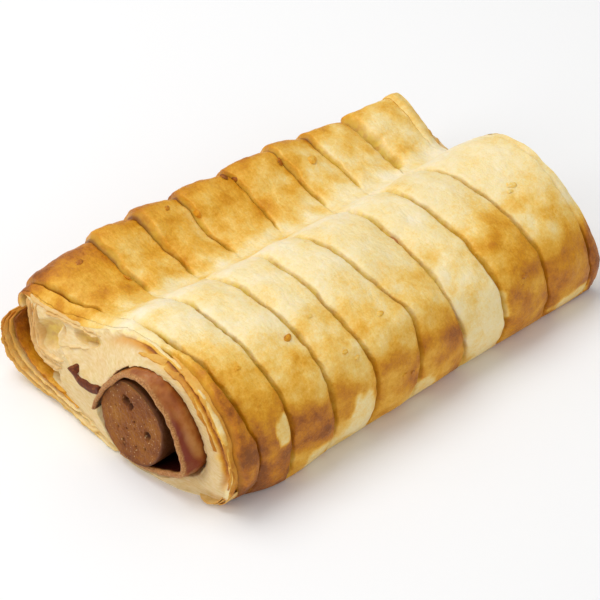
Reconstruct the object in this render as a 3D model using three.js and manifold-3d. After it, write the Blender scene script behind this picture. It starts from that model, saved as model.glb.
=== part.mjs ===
// A sausage roll in puff pastry: two slashed humps of baked dough, side by side on a flat base.
// The front hump holds a sausage with a thin slice of ham rolled round it.
// Millimetres, +Z up, +X along the roll, the origin under the middle of the roll at its base.
// The end at -X is the one where the ham and its loose tail show best.
import * as THREE from "three";
import { ParametricGeometry } from "three/addons/geometries/ParametricGeometry.js";
import { mergeVertices } from "three/addons/utils/BufferGeometryUtils.js";
import Module from "manifold-3d";

const wasm = await Module();
wasm.setup();

// Driving dimensions.
const NEAR_END = -72; // the lower sheet's edge at the end that shows the ham
const FAR_END = 77;
const SAUSAGE_RADIUS = 12.7;
const SAUSAGE_Y = -10.8; // the sausage's axis, inside the front hump
const SAUSAGE_Z = 16.2;
const GAP = 0.4; // air left between pastry, ham and sausage
const ROOM_OVERRUN = 12; // how far the cut for the filling runs past the pastry's ends
const HAM_NEAR = -74.5; // the ham stands proud of the pastry at both ends
const HAM_FAR = 76;
const TAIL_SET_BACK = 3;
const SAUSAGE_NEAR = -73.6;
const SAUSAGE_FAR = 75;

// The pastry's section from the front base edge, over both humps, to the back base edge, as [y, z].
// The valley between the humps deepens from the near end to the far end.
const FRONT_SIDE = [[-41, 0], [-45, 3.5], [-47, 10.5], [-46, 18], [-42, 25], [-35, 31], [-25, 35]];
const BACK_SIDE = [[45.5, 27], [46.5, 19], [47, 11], [45, 4], [41, 0]];
const BASE = [[27, 0], [13.5, 0], [0, 0], [-13.5, 0], [-27, 0]];
const SECTIONS = [
  { x: -55, top: [[-14, 37], [-4, 36.5], [3, 35], [9, 32.5], [14, 31], [20, 31.5], [28, 33], [35, 35], [41, 33.5]] },
  { x: 10, top: [[-14, 37], [-4, 35.5], [3, 32], [9, 28], [14, 26], [20, 27], [28, 29.5], [35, 32], [41, 31.5]] },
  { x: 70, top: [[-14, 38], [-4, 36], [3, 31], [9, 25.5], [14, 22], [20, 23.5], [28, 27.5], [35, 30.5], [41, 30]] },
];

// Each slash crosses both humps: its place along the roll on the front hump and on the back hump.
const SLASHES = [[-60, -61], [-45.3, -44.5], [-31.2, -26], [-15.2, -10], [2.5, 9.5], [19, 25.5], [34.8, 39.8], [53, 54]];
const SLASH_DEPTH = 2.8;
// Across one strip: how far along it, and how far its skin stands off the section, as a share of the depth.
const STRIP_PROFILE = [[0.03, -1], [0.16, -0.35], [0.45, 0.1], [0.8, 0.05], [0.97, -0.2]];
const AROUND = 64; // points round the pastry's section
const CAP_RINGS = [0, 0.45, 0.8, 0.95]; // rings of each end face, from its middle outwards

// The ham's section round the sausage's axis, as [y, z]: the inside from the lip at the back, over the top,
// down to the fold at the lower front and back under the sausage; then the outside, back up to the tail.
const HAM_INSIDE = [
  [13.4, 0], [12.8, 4.6], [10.6, 9], [6.4, 13], [0.8, 14.8], [-5, 14.4], [-10, 12.2], [-14, 8],
  [-16.6, 3], [-17.8, -2.5], [-17.5, -6], [-13, -8.6], [-8, -11.4], [-3, -13.3], [1, -13.4],
];
const HAM_OUTSIDE = [
  [1.2, -14.4], [-4, -14.4], [-9.5, -12.9], [-15, -10.4], [-19.4, -7.6], [-20.4, -3], [-19.4, 3],
  [-16.6, 8.6], [-12, 13], [-6, 15.6], [1, 16.1], [7.6, 14.2], [12, 10], [14.2, 5.2],
];
const HAM_MOUTH = [[12.9, -3], [11.6, -7], [8.6, -11], [4.6, -13.6]]; // across the slice's open back
const HAM_TAIL = [[17.5, 3.2], [22, 3.6], [27, 3.9], [27.4, 3.1], [27, 2.5], [22, 2.2], [17.5, 1.6], [14.8, 0]];

// A 0 to 1 ramp with soft ends.
const ramp = (x, low, high) => THREE.MathUtils.smoothstep(x, low, high);

// The closed section through one place along the roll, as a smooth curve.
function sectionCurve(top) {
  const points = [...FRONT_SIDE, ...top, ...BACK_SIDE, ...BASE].map(([y, z]) => new THREE.Vector3(0, y, z));
  return new THREE.CatmullRomCurve3(points, true, "catmullrom", 0.5);
}
const curves = SECTIONS.map(({ top }) => sectionCurve(top));

// The point a share v of the way round the section at x. The base stays flat.
function sectionPoint(x, v) {
  const [near, middle, far] = SECTIONS.map((section) => section.x);
  const point = curves[0].getPoint(v);
  point.lerp(curves[1].getPoint(v), ramp(x, near, middle));
  point.lerp(curves[2].getPoint(v), ramp(x, middle, far));
  point.z = Math.max(point.z, 0);
  return point;
}

// How much a slash shows: fully on both humps, not at all in the valley and near the base.
const slashShare = ({ y, z }) => ramp(z, 3, 14) * (1 - ramp(y, -1, 6) * (1 - ramp(y, 14, 20)));

// Stations along the roll: each has its place on the front and back hump and its offset from the section.
function stationList() {
  const edges = [[NEAR_END, NEAR_END], ...SLASHES, [FAR_END, FAR_END]];
  const stations = [];
  for (let i = 0; i + 1 < edges.length; i++) {
    for (const [along, stand] of STRIP_PROFILE) {
      const front = THREE.MathUtils.lerp(edges[i][0], edges[i + 1][0], along);
      const back = THREE.MathUtils.lerp(edges[i][1], edges[i + 1][1], along);
      const endStrip = i === 0 && along < 0.3;
      stations.push({ front, back, offset: endStrip ? -0.3 * SLASH_DEPTH : stand * SLASH_DEPTH });
    }
  }
  stations[0].front = stations[0].back = NEAR_END;
  stations.push({ front: FAR_END, back: FAR_END, offset: -0.9 * SLASH_DEPTH });
  return stations;
}

// The upper sheet of dough stops short of the lower one at the near end, most of all on the back hump,
// and leans back a little at the far end. Both front corners are round, and so is the far back one.
function leanBack(point) {
  const { x, y, z } = point;
  const upperSheet = (5 + 5 * ramp(y, -4, 10)) * ramp(z, 8, 32);
  const near = (upperSheet + 6 * ramp(-y, 30, 48)) * (1 - ramp(x, NEAR_END, -46));
  const far = (3 * ramp(z, 14, 38) + 5 * ramp(Math.abs(y), 30, 48)) * ramp(x, 54, FAR_END);
  point.x = x + near - far;
}

const stations = stationList();

// One point of the pastry's skin: station s counts from the near face's middle to the far face's middle.
function pastryPoint(s, v, target) {
  const index = THREE.MathUtils.clamp(s - CAP_RINGS.length, 0, stations.length - 1);
  const { front, back, offset } = stations[index];
  const middle = (front + back) / 2;
  const skin = sectionPoint(middle, v);
  const along = sectionPoint(middle, (v + 0.004) % 1).sub(skin).normalize();
  const outward = new THREE.Vector3(0, -along.z, along.y).multiplyScalar(offset * slashShare(skin));
  const outer = skin.clone().add(outward);
  outer.x = THREE.MathUtils.lerp(front, back, ramp(skin.y, -6, 22));
  const fromFace = Math.min(s, stations.length - 1 + 2 * CAP_RINGS.length - s);
  const shrink = fromFace < CAP_RINGS.length ? CAP_RINGS[fromFace] : 1;
  target.set(outer.x, outer.y * shrink, 12 + (outer.z - 12) * shrink);
  leanBack(target);
}

function pastryGeometry() {
  const rings = stations.length - 1 + 2 * CAP_RINGS.length;
  return new ParametricGeometry(
    (u, v, target) => pastryPoint(Math.round(v * rings), u % 1, target),
    AROUND,
    rings,
  );
}

// A closed mesh as a manifold-3d solid, turned the right way out.
function solidOf(geometry) {
  const bare = new THREE.BufferGeometry().setAttribute("position", geometry.getAttribute("position"));
  if (geometry.index) bare.setIndex(geometry.index);
  const merged = mergeVertices(bare, 1e-3);
  const positions = merged.attributes.position.array;
  const corners = Array.from(merged.index.array);
  const triangles = [];
  for (let i = 0; i < corners.length; i += 3) {
    const [a, b, c] = corners.slice(i, i + 3);
    if (a !== b && b !== c && c !== a) triangles.push([a, b, c]);
  }
  const make = (list) =>
    new wasm.Manifold(
      new wasm.Mesh({ numProp: 3, vertProperties: positions, triVerts: new Uint32Array(list.flat()) }),
    );
  const solid = make(triangles);
  return solid.volume() > 0 ? solid : make(triangles.map(([a, b, c]) => [a, c, b]));
}

function geometryOf(solid) {
  const { vertProperties, triVerts } = solid.getMesh();
  const geometry = new THREE.BufferGeometry()
    .setAttribute("position", new THREE.BufferAttribute(vertProperties, 3))
    .setIndex(new THREE.BufferAttribute(triVerts, 1));
  geometry.computeVertexNormals();
  return geometry;
}

// Extrudes a section given round the sausage's axis from one x to another, in a few steps.
function extrudeAlong(points, fromX, toX, steps) {
  const shape = new THREE.Shape(points.map(([y, z]) => new THREE.Vector2(y, z)));
  const geometry = new THREE.ExtrudeGeometry(shape, { depth: toX - fromX, steps, bevelEnabled: false });
  // The shape's x and y become the row's y and z, and its depth runs along x.
  const turn = new THREE.Matrix4().makeBasis(
    new THREE.Vector3(0, 1, 0), new THREE.Vector3(0, 0, 1), new THREE.Vector3(1, 0, 0),
  );
  return geometry.applyMatrix4(turn).translate(fromX, SAUSAGE_Y, SAUSAGE_Z);
}

// A clockwise outline, moved outwards.
function grown(points, by) {
  return points.map(([y, z], i) => {
    const [y0, z0] = points[(i + points.length - 1) % points.length];
    const [y1, z1] = points[(i + 1) % points.length];
    const length = Math.hypot(y1 - y0, z1 - z0);
    return [y - (by * (z1 - z0)) / length, z + (by * (y1 - y0)) / length];
  });
}

// The slice of ham. Its tail starts a little behind the rolled part's near rim.
function hamGeometry() {
  const geometry = extrudeAlong([...HAM_INSIDE, ...HAM_OUTSIDE, ...HAM_TAIL], HAM_NEAR, HAM_FAR, 12);
  const position = geometry.getAttribute("position");
  for (let i = 0; i < position.count; i++) {
    const inTail = position.getY(i) > SAUSAGE_Y + 15;
    const atRim = position.getX(i) < HAM_NEAR + TAIL_SET_BACK;
    if (inTail && atRim) position.setX(i, HAM_NEAR + TAIL_SET_BACK);
  }
  return geometry;
}

// The room that the pastry leaves for the ham, its tail and the sausage, open at both ends.
function fillingRoom() {
  const outline = grown([...HAM_TAIL, ...HAM_MOUTH, ...HAM_OUTSIDE], GAP);
  const ham = solidOf(extrudeAlong(outline, NEAR_END - ROOM_OVERRUN, FAR_END + ROOM_OVERRUN, 1));
  const round = [];
  for (let i = 0; i < 48; i++) {
    const turn = (i * Math.PI) / 24;
    round.push([(SAUSAGE_RADIUS + GAP) * Math.cos(turn), (SAUSAGE_RADIUS + GAP) * Math.sin(turn)]);
  }
  return ham.add(solidOf(extrudeAlong(round, NEAR_END - ROOM_OVERRUN, FAR_END + ROOM_OVERRUN, 1)));
}

// The gap between the lower sheet and the upper one, open at the near end's back corner.
function sheetGap() {
  const wedge = [[22, 14.6], [52, 25], [52, 17]].map(([y, z]) => [y - SAUSAGE_Y, z - SAUSAGE_Z]);
  return solidOf(extrudeAlong(wedge, NEAR_END - 8, NEAR_END + 13, 1));
}

// A puffed hollow in the upper sheet's cut edge at the near end.
function pocket(y, z, wide, tall) {
  const ball = new THREE.SphereGeometry(1, 20, 12).scale(11, wide / 2, tall / 2);
  return solidOf(ball.rotateY(-0.35).translate(NEAR_END + 7, y, z));
}

function sausageGeometry() {
  const profile = [
    [0, SAUSAGE_NEAR], [SAUSAGE_RADIUS - 1.2, SAUSAGE_NEAR], [SAUSAGE_RADIUS - 0.3, SAUSAGE_NEAR + 0.5],
    [SAUSAGE_RADIUS, SAUSAGE_NEAR + 1.6], [SAUSAGE_RADIUS, SAUSAGE_FAR - 1.6],
    [SAUSAGE_RADIUS - 0.3, SAUSAGE_FAR - 0.5], [SAUSAGE_RADIUS - 1.2, SAUSAGE_FAR], [0, SAUSAGE_FAR],
  ];
  const geometry = new THREE.LatheGeometry(profile.map(([r, x]) => new THREE.Vector2(r, x)), 40);
  // A lathe turns about Y: lay its axis along X.
  return geometry.rotateZ(-Math.PI / 2);
}

function mesh(name, geometry, color, roughness) {
  const made = new THREE.Mesh(geometry, new THREE.MeshStandardMaterial({ color, roughness, metalness: 0 }));
  made.name = name;
  return made;
}

const roll = new THREE.Group();
const pastrySolid = solidOf(pastryGeometry())
  .subtract(fillingRoom())
  .subtract(sheetGap())
  .subtract(pocket(26, 24.5, 13, 5))
  .subtract(pocket(9, 26.5, 8, 3));
roll.add(mesh("pastry", geometryOf(pastrySolid), 0xe8bf72, 0.55));
roll.add(mesh("ham_slice", hamGeometry(), 0x9a5138, 0.4));
const sausage = mesh("sausage", sausageGeometry(), 0x9c6238, 0.5);
sausage.position.set(0, SAUSAGE_Y, SAUSAGE_Z);
roll.add(sausage);

export default roll;
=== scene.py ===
import math

import bpy
import numpy as np
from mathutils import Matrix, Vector, noise


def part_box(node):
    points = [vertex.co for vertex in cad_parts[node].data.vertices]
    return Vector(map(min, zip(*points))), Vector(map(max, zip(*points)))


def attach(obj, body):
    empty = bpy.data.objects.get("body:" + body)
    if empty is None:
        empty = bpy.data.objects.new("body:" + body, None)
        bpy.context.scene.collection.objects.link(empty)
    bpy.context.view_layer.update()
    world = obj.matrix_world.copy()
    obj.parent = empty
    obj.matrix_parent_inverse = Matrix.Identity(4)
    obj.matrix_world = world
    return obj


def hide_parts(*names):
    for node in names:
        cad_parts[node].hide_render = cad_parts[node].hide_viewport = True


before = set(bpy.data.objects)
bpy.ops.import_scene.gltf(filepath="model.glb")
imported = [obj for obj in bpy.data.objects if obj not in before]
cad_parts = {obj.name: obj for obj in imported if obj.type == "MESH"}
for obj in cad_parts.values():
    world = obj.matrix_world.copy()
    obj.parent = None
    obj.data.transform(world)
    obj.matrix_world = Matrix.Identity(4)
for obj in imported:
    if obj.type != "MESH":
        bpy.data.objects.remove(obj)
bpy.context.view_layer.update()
bpy.ops.object.select_all(action="DESELECT")
bpy.context.scene.view_settings.view_transform = "Standard"

# ---- The table, the light and the camera ----
# A plain white table top under three large soft lamps and a pale room. The camera looks down on the end
# where the ham's tail shows.
MM = 0.001

bpy.ops.mesh.primitive_plane_add(size=6)
table = bpy.context.object
table.name = "table"
white = bpy.data.materials.new("white_table")
white.use_nodes = True
white.node_tree.nodes["Principled BSDF"].inputs["Base Color"].default_value = (0.96, 0.96, 0.96, 1)
white.node_tree.nodes["Principled BSDF"].inputs["Roughness"].default_value = 0.9
table.data.materials.append(white)

room = bpy.data.worlds.new("pale_room")
room.use_nodes = True
room.node_tree.nodes["Background"].inputs["Color"].default_value = (1, 1, 1, 1)
room.node_tree.nodes["Background"].inputs["Strength"].default_value = 0.46
bpy.context.scene.world = room


def lamp(name, place, target, size, power):
    """A square soft lamp at place, in metres, turned towards target."""
    bpy.ops.object.light_add(type="AREA", location=place)
    light = bpy.context.object
    light.name = name
    light.data.size = size
    light.data.energy = power
    light.rotation_euler = (Vector(target) - Vector(place)).to_track_quat("-Z", "Y").to_euler()


lamp("lamp_above", (-0.15, 0.35, 0.95), (0, 0, 0), 0.7, 5.7)
lamp("lamp_left", (-0.9, 0.25, 0.5), (0, 0, 0.02), 0.6, 2.5)
lamp("lamp_front", (-0.1, -1.0, 0.45), (0, 0, 0.02), 0.8, 1.4)

CAMERA_TURN = math.radians(-43.5)
CAMERA_RISE = math.radians(38.5)
CAMERA_DISTANCE = 0.843
LOOK_AT = Vector((0, 0, 0.012))
away = Vector((math.sin(CAMERA_TURN) * math.cos(CAMERA_RISE),
               -math.cos(CAMERA_TURN) * math.cos(CAMERA_RISE),
               math.sin(CAMERA_RISE)))
bpy.ops.object.camera_add(location=LOOK_AT + away * CAMERA_DISTANCE)
camera = bpy.context.object
camera.rotation_euler = away.to_track_quat("Z", "Y").to_euler()
camera.data.sensor_width = 36
camera.data.lens = 177
camera.data.clip_start = 0.01
bpy.context.scene.camera = camera
bpy.ops.object.select_all(action="DESELECT")

# ---- The crust ----
# The baked puff pastry: one folded sheet of dough with two humps, slashed across, resting on a flat base.
# It is shaped from a fine torus. The torus's outer skin is the crust, its inner skin the room for the
# filling, and each end closes from one to the other. All its sizes are in millimetres.

# The skin's section at places along the roll, from the front base edge over both humps to the back one.
SECTION_AT = np.array([-70.0, -66.0, -61.0, -54.0, -28.0, 3.0, 22.0, 38.0, 56.0, 78.0])
BASE = [(40, 0), (27, 0), (13.5, 0), (0, 0), (-13.5, 0), (-26, 0)]
SECTIONS = np.array([outline + BASE for outline in [
    [(-35, 0), (-40.8, 3), (-44, 9.5), (-44.2, 17), (-41.2, 24), (-35.5, 30), (-27.5, 34),
     (-16, 36), (-6, 35.2), (2, 32.3), (8, 29), (13, 26.4), (20, 25.2), (28, 25),
     (35, 25.2), (40.6, 25.4), (43.6, 23.6), (43.6, 18), (43.4, 11), (42.6, 4)],
    [(-36, 0), (-41.6, 3), (-44.8, 9.5), (-45, 17.5), (-42, 25), (-36, 31), (-27.5, 35.2),
     (-16, 36.8), (-6, 36.5), (2, 34.3), (8, 31), (13, 28), (20, 26.3), (28, 26),
     (35, 26.4), (41.4, 26.6), (45.2, 24.6), (45.2, 18), (45, 11), (43.8, 4)],
    [(-37.5, 0), (-42.3, 3.2), (-45.2, 9.5), (-45.5, 17.5), (-42.5, 25), (-36, 31.4), (-27, 36),
     (-16, 37.5), (-6, 37.6), (2, 36.2), (8, 33), (13, 30.9), (19, 30.2), (27, 30.4),
     (35, 30.9), (41, 30), (45, 26.6), (46.6, 20), (46.8, 11), (44.8, 4)],
    [(-40.4, 0), (-43.8, 3), (-45.5, 9.5), (-45.5, 17.5), (-42.5, 25), (-36, 31.5), (-27, 36),
     (-16, 37.6), (-6, 37.8), (2, 36.6), (8, 33.5), (13, 31), (19, 30.4), (27, 30.8),
     (35, 32), (41, 31.6), (45.5, 27.5), (46.8, 20), (47, 11), (45, 4)],
    [(-40.6, 0), (-44.2, 3.2), (-46, 10), (-46, 17), (-44, 24), (-39, 29.5), (-31, 33.5),
     (-20, 36.5), (-8, 37), (1, 35), (7.5, 31), (12, 27.5), (18, 27), (27, 29.5),
     (35, 33.2), (41, 34.0), (45.5, 29), (46.8, 20), (47, 11), (45, 4)],
    [(-40.6, 0), (-44.6, 3.2), (-47, 10), (-47, 17.5), (-45, 23), (-40.5, 29), (-32, 32.5),
     (-20, 35.8), (-8, 36.5), (1, 34.5), (7, 29.5), (12, 26), (18, 25.5), (27, 27.5),
     (35, 31), (41, 32), (45, 27), (46.5, 19), (46.8, 11), (45, 4)],
    [(-40.6, 0), (-44.4, 3.2), (-46.5, 10), (-46.5, 16), (-44, 21.5), (-39.5, 26.5), (-31, 30.5),
     (-20, 33), (-9, 34.8), (0, 33.5), (6.5, 29), (11.5, 25), (18, 24.5), (27, 27),
     (35, 30.5), (41, 31.5), (45, 26.5), (46.5, 19), (46.8, 11), (45, 4)],
    [(-41, 0), (-44.9, 3.2), (-47.2, 10), (-46.8, 17), (-44, 23.5), (-38.5, 28.5), (-31, 31.5),
     (-20, 34), (-10, 35.5), (-1, 33.5), (6, 28.5), (11, 24.5), (18, 24), (27, 26.5),
     (35, 29), (41, 29.5), (45, 25), (46.5, 18), (46.8, 10), (45, 4)],
    [(-41.6, 0), (-45.1, 3.2), (-46.7, 10), (-46.2, 16.5), (-43, 22.5), (-37.5, 27.5), (-29.5, 31),
     (-19, 33.7), (-8, 35), (1, 32.5), (7, 27.5), (12, 23.2), (18, 22.5), (26, 25),
     (33, 27.3), (39.5, 28), (43.5, 24), (45.5, 17), (46, 10), (44.5, 4)],
    [(-42.4, 0), (-45.2, 3), (-46.3, 9), (-45, 15), (-41.3, 21.2), (-36, 27), (-28.5, 33.6),
     (-18, 38), (-8, 38.5), (0, 34), (6.5, 26.5), (12.5, 22), (18, 22), (25, 25.4),
     (32, 28.4), (38.5, 28.8), (42.5, 24.2), (44.5, 17), (45, 10), (44, 4)],
]], dtype=float)
CORNERS = SECTIONS.shape[1]
BASE_EDGE = CORNERS - len(BASE)
# How many points the mesh has from each of the section's points to the next.
FINENESS = [4, 6, 8, 9, 10, 11, 12, 10, 9, 8, 7, 7, 13, 13, 13, 13, 13, 12, 9, 6] + [4] * 6

# Where the crust's skin turns into its near end face, for each of the section's points, and the lip of the
# opening there, as x, y, z.
NEAR_EDGE = np.array([-68.0, -68.3, -68.4, -68.4, -68.4, -67.4, -66, -65, -64.4, -64.2, -64.6, -65.2, -66,
                      -66.6, -66.9, -67, -67, -68, -69.5, -70, -70, -70.5, -71, -72.5, -72.8, -71.2])
NEAR_LIP = np.array([
    (-68, -27.5, 4.4), (-67, -31, 7), (-66.3, -33, 10.6), (-65.9, -33.3, 14.8), (-65.9, -31.3, 20),
    (-66.2, -28, 26), (-67.4, -22, 32.4), (-69.2, -14.2, 34.9), (-71, -6.8, 31.8), (-71.7, -1.8, 26),
    (-72, 1.0, 21.2), (-72.3, 4.4, 19.3), (-72.5, 7.4, 18.2), (-72.5, 10.6, 18.6), (-72.5, 13.6, 19.7),
    (-72.5, 15.0, 19.4), (-72.5, 13.2, 17.8), (-72.5, 10.4, 16.3), (-72.5, 7.4, 16.1), (-72.5, 5.2, 16.5),
    (-72.5, 3.4, 16.4), (-72.6, 4.4, 11.4), (-72.8, 2.0, 7.4), (-73, -4, 3.2), (-73, -12, 1.1),
    (-71.5, -20, 1.6)])
FAR_EDGE = np.array([76, 76.4, 76.8, 77, 76.8, 76.3, 75.9, 75.6, 75.4, 75, 74.4, 74, 74.4, 75.8, 76.8, 77,
                     76.6, 76, 75.6, 75, 75, 75.5, 75.5, 75.5, 75.5, 76])

# The slashes. Each has its place along the roll at five heights of the front hump, from the base to the
# valley, and at four across the back one; its depth on each hump; and how far the wall beyond it takes to
# rise, on each hump.
FRONT_HEIGHTS = [1, 3, 5, 7, 9]
BACK_HEIGHTS = [12, 13, 15, 17]
SLASHES = [
    ([-64.4, -66.2, -65.1, -62.8, -62.2], [-62.8, -64.4, -65.2, -65.6], 3.1, 0.0, 1.5, 1.2),
    ([-59.6, -58.8, -60.6, -60.6, -59.0], [-58.8, -61.8, -62.8, -63.6], 3.3, 2.4, 1.7, 0.9),
    ([-47.0, -46.2, -46.2, -46.0, -45.0], [-42.4, -43.0, -42.4, -41.8], 2.1, 2.0, 1.6, 1.7),
    ([-31.0, -30.8, -30.7, -30.0, -30.2], [-26.0, -26.8, -26.8, -27.2], 2.3, 2.6, 1.7, 1.9),
    ([-16.6, -14.8, -16.2, -16.2, -14.6], [-10.6, -11.4, -10.4, -10.0], 2.2, 2.1, 1.7, 1.1),
    ([-0.6, 1.0, 3.2, 0.2, -0.8], [7.6, 8.8, 7.6, 7.4], 2.3, 1.8, 1.8, 1.0),
    ([20.4, 18.8, 17.4, 19.8, 18.8], [26.0, 25.4, 25.8, 25.4], 2.3, 2.0, 1.7, 1.2),
    ([35.2, 34.8, 34.0, 34.8, 34.0], [40.0, 39.8, 40.2, 40.0], 2.3, 1.9, 1.7, 1.3),
    ([53.8, 53.4, 53.2, 52.2, 50.2], [55.6, 55.4, 55.4, 55.4], 2.4, 3.4, 1.8, 3.2),
    ([71.6, 72.0, 73.2, 73.6, 72.6], [71.8, 72.4, 73.0, 73.0], 2.0, 0.0, 1.2, 1.2),
]
# The browning of the strips between them: on the front hump at three heights, from the shoulder down, and
# on the back hump.
FRONT_BAKE = [(0.34, 0.72, 0.80), (0.76, 0.92, 0.94), (0.58, 0.88, 0.96), (0.46, 0.84, 0.60),
              (0.45, 0.66, 0.30), (0.42, 0.72, 0.56), (0.38, 0.74, 0.66), (0.26, 0.20, 0.30),
              (0.58, 0.74, 0.70), (0.40, 0.74, 0.82), (0.26, 0.84, 0.92)]
BACK_BAKE = [0.60, 0.65, 0.65, 0.46, 0.52, 0.53, 0.50, 0.44, 0.33, 0.34, 0.32]

# How much higher each strip of the back hump stands at its near edge than at its far one.
BACK_TILT = [0, 0, 1.4, 2.8, 2.8, 1.4, 0.6, 2.2, 1.0, 0.6, 0]

# One strip's profile. From its near slash: (share of the wall's run, share of the depth) up to the top.
# Before its far slash: (distance, share of the depth), ending in a crisp lip that hangs over the next wall.
WALL = [(0.0, -1.0), (0.16, -0.94), (0.32, -0.84), (0.48, -0.70), (0.64, -0.53), (0.80, -0.34),
        (0.92, -0.18), (1.0, -0.08), (1.12, -0.02), (1.35, 0.0)]
LIP = [(1.3, 0.0), (0.7, 0.0), (0.34, -0.02), (0.1, -0.07), (0.0, -0.2), (0.06, -0.5), (0.35, -0.9)]
FACE_MIDDLE = np.array([-11.0, 15.5])  # the middle of the end faces, as y, z
FAR_FACE_RINGS = 18
TUNNEL_RINGS = 4
NEAR_FACE_RINGS = 80
TOP_STEPS = 17
NARROWEST_STRIP = 1.7


def soft(x, low, high):
    """A 0 to 1 ramp with soft ends."""
    t = np.clip((x - low) / (high - low), 0, 1)
    return t * t * (3 - 2 * t)


def grain(points, size, seed):
    """Smooth noise from -1 to 1 at each point, with lumps of the given size."""
    scaled = np.asarray(points, dtype=float).reshape(-1, 3) / size + seed * 17.31
    values = [noise.noise(Vector(p)) for p in scaled.tolist()]
    return np.array(values).reshape(np.asarray(points).shape[:-1])


def blend_through(p0, p1, p2, p3, t):
    """A smooth curve from p1 to p2, at t from 0 to 1, with p0 before them and p3 after."""
    return 0.5 * (2 * p1 + (p2 - p0) * t + (2 * p0 - 5 * p1 + 4 * p2 - p3) * t * t
                  + (3 * p1 - p0 - 3 * p2 + p3) * t ** 3)


def curve_at(table, s):
    """A smooth closed curve through the table's points, at parameter s, counted in points."""
    base = np.floor(s).astype(int)
    t = (s - base)[:, None] if table.ndim > 1 else s - base
    return blend_through(*(table[(base + k) % len(table)] for k in (-1, 0, 1, 2)), t)


def skin_at(x, s):
    """The skin's (y, z) at x along the roll and s round it. x has a row per station and a column per s."""
    slopes = np.gradient(SECTIONS, SECTION_AT, axis=0)
    k = np.clip(np.searchsorted(SECTION_AT, x) - 1, 0, len(SECTION_AT) - 2)
    span = SECTION_AT[k + 1] - SECTION_AT[k]
    t = np.clip((x - SECTION_AT[k]) / span, -0.2, 1.2)[..., None]
    span = span[..., None]
    base = np.floor(s).astype(int)
    corners = []
    for step in (-1, 0, 1, 2):
        c = np.broadcast_to((base + step) % CORNERS, x.shape)
        corners.append((1 + 2 * t) * (1 - t) ** 2 * SECTIONS[k, c] + t * (1 - t) ** 2 * span * slopes[k, c]
                       + t * t * (3 - 2 * t) * SECTIONS[k + 1, c]
                       + t * t * (t - 1) * span * slopes[k + 1, c])
    return blend_through(*corners, (s - base)[None, :, None])


around = np.concatenate([k + np.arange(n) / n for k, n in enumerate(FINENESS)])
columns = len(around)
plain = skin_at(np.full((1, columns), 3.0), around)[0]
on_base = around > BASE_EDGE
near_edge = curve_at(NEAR_EDGE, around)
far_edge = curve_at(FAR_EDGE, around)


def wander(seed, size, reach):
    """A gentle sideways wobble along a slash, in millimetres, one value per column."""
    line = np.column_stack([np.full(columns, seed * 31.7), plain])
    return reach * grain(line, size, seed)


# The slashes' own lines over the humps.
edges = [near_edge]
for k, (front, back, *_) in enumerate(SLASHES):
    line = np.interp(around, FRONT_HEIGHTS + BACK_HEIGHTS, front + back)
    line = np.convolve(np.pad(line, 4, mode="edge"), np.ones(9) / 9, mode="valid")
    line[on_base] = np.interp(plain[on_base, 0], [-35, 35], [front[0], back[-1]])
    line = line + wander(k, 8.0, 0.7) + wander(k + 40, 2.6, 0.34) + wander(k + 80, 1.1, 0.12)
    edges.append(np.maximum(line, edges[-1] + NARROWEST_STRIP))
edges.append(np.maximum(far_edge + wander(77, 8.0, 0.4), edges[-1] + 1.2))

# How strongly a slash shows at each column: on both humps, little in the valley, none under the base.
across, height = plain.T
front_part = soft(height, 0.5, 6) * (1 - 0.72 * soft(across, -9, 0)) * (1 - soft(across, 3, 8))
front_puff = soft(height, 0.5, 6) * (1 - soft(across, 5, 11))
back_part = soft(height, 11, 20) * soft(across, 14.5, 19) * (1 - 0.2 * soft(across, 34, 42))
for part in (front_part, front_puff, back_part):
    part[on_base] = 0
back_ridge = soft(across, 21, 35) * soft(height, 8, 20)
back_share = soft(across, 9, 15)


def depth_of(k):
    """The depth of slash k at each column."""
    if k < 0 or k >= len(SLASHES):
        return np.zeros(columns)
    depth = SLASHES[k][2] * front_part + SLASHES[k][3] * back_part
    if k == 0:
        depth *= 1 - soft(across, -22, -14)
    if k == len(SLASHES) - 1:
        depth *= 1 - soft(height, 20, 27)
    if k == 1:
        depth *= 1 - 0.8 * soft(across, -20, -8) * (1 - soft(across, 8, 20))
    return depth


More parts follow.
